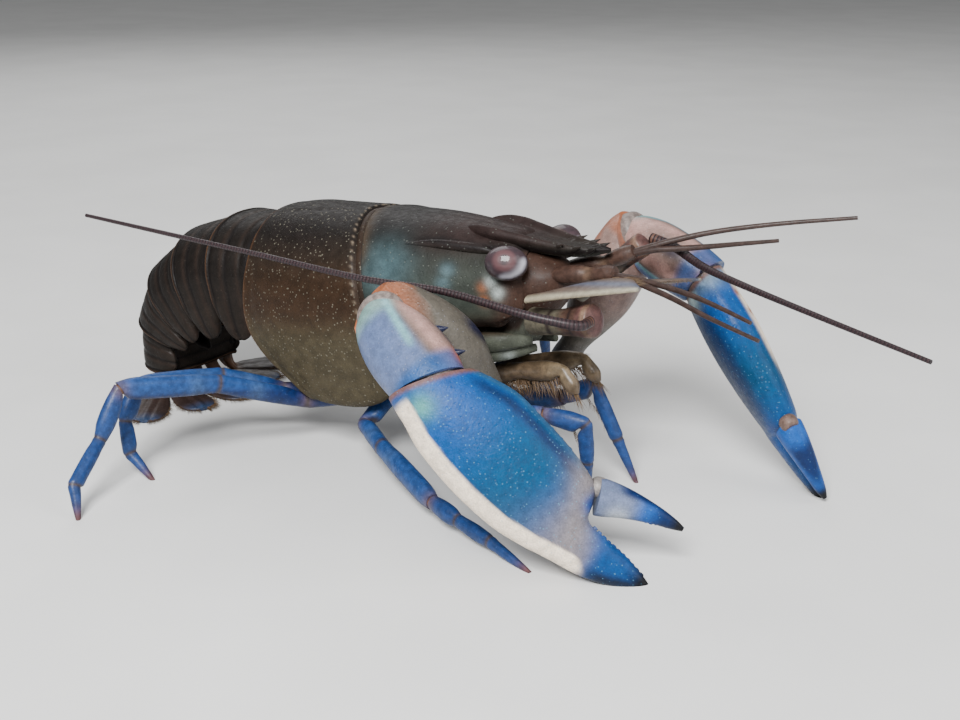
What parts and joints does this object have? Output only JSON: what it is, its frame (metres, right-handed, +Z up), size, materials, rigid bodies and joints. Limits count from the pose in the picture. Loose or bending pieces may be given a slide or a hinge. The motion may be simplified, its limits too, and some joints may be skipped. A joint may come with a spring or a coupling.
{
  "type": "freshwater crayfish still model",
  "caption": "Life-size still model of a blue-clawed freshwater crayfish standing on its legs and claw tips with its tail curled under.",
  "frame": {"origin": "middle of the bounding box's footprint, on the floor that the animal stands on", "axes": "+X the way the animal heads, +Y its left side, +Z up"},
  "size_m": [0.1347, 0.0916, 0.0417],
  "materials": {
    "back_shell": "satin brown shell with pale speckles",
    "head_shell": "satin grey-brown shell",
    "tail_shell": "satin dark brown shell",
    "leg_shell": "satin blue shell",
    "arm_shell": "satin lilac-blue shell",
    "palm_shell": "glossy azure shell with a cream outer edge",
    "finger_shell": "glossy blue shell with a dark tip",
    "feeler_shell": "satin red-brown rings",
    "scale_shell": "satin cream shell",
    "eye_surface": "wet dark cornea"
  },
  "bodies": {
    "root": {"thorax": "back_shell", "head": "head_shell", "abdomen_1": "tail_shell", "abdomen_2": "tail_shell", "abdomen_3": "tail_shell", "abdomen_4": "tail_shell", "abdomen_5": "tail_shell", "abdomen_6": "tail_shell", "telson": "tail_shell", "uropod_inner_left": "tail_shell", "uropod_outer_left": "tail_shell", "eye_left": "eye_surface", "antenna_base_left": "feeler_shell", "antenna_whip_1_left": "feeler_shell", "antenna_whip_2_left": "feeler_shell", "antenna_scale_left": "scale_shell", "antennule_left": "feeler_shell", "jaw_foot_left": "scale_shell", "claw_arm_left": "arm_shell", "claw_wrist_left": "arm_shell", "claw_palm_left": "palm_shell", "claw_finger_left": "finger_shell", "leg_2_left_upper": "leg_shell", "leg_2_left_lower": "leg_shell", "leg_3_left_upper": "leg_shell", "leg_3_left_lower": "leg_shell", "leg_4_left_upper": "leg_shell", "leg_4_left_lower": "leg_shell", "leg_5_left_upper": "leg_shell", "leg_5_left_lower": "leg_shell", "uropod_inner_right": "tail_shell", "uropod_outer_right": "tail_shell", "eye_right": "eye_surface", "antenna_base_right": "feeler_shell", "antenna_whip_1_right": "feeler_shell", "antenna_whip_2_right": "feeler_shell", "antenna_scale_right": "scale_shell", "antennule_right": "feeler_shell", "jaw_foot_right": "scale_shell", "claw_arm_right": "arm_shell", "claw_wrist_right": "arm_shell", "claw_palm_right": "palm_shell", "claw_finger_right": "finger_shell", "leg_2_right_upper": "leg_shell", "leg_2_right_lower": "leg_shell", "leg_3_right_upper": "leg_shell", "leg_3_right_lower": "leg_shell", "leg_4_right_upper": "leg_shell", "leg_4_right_lower": "leg_shell", "leg_5_right_upper": "leg_shell", "leg_5_right_lower": "leg_shell"}
  },
  "joints": []
}
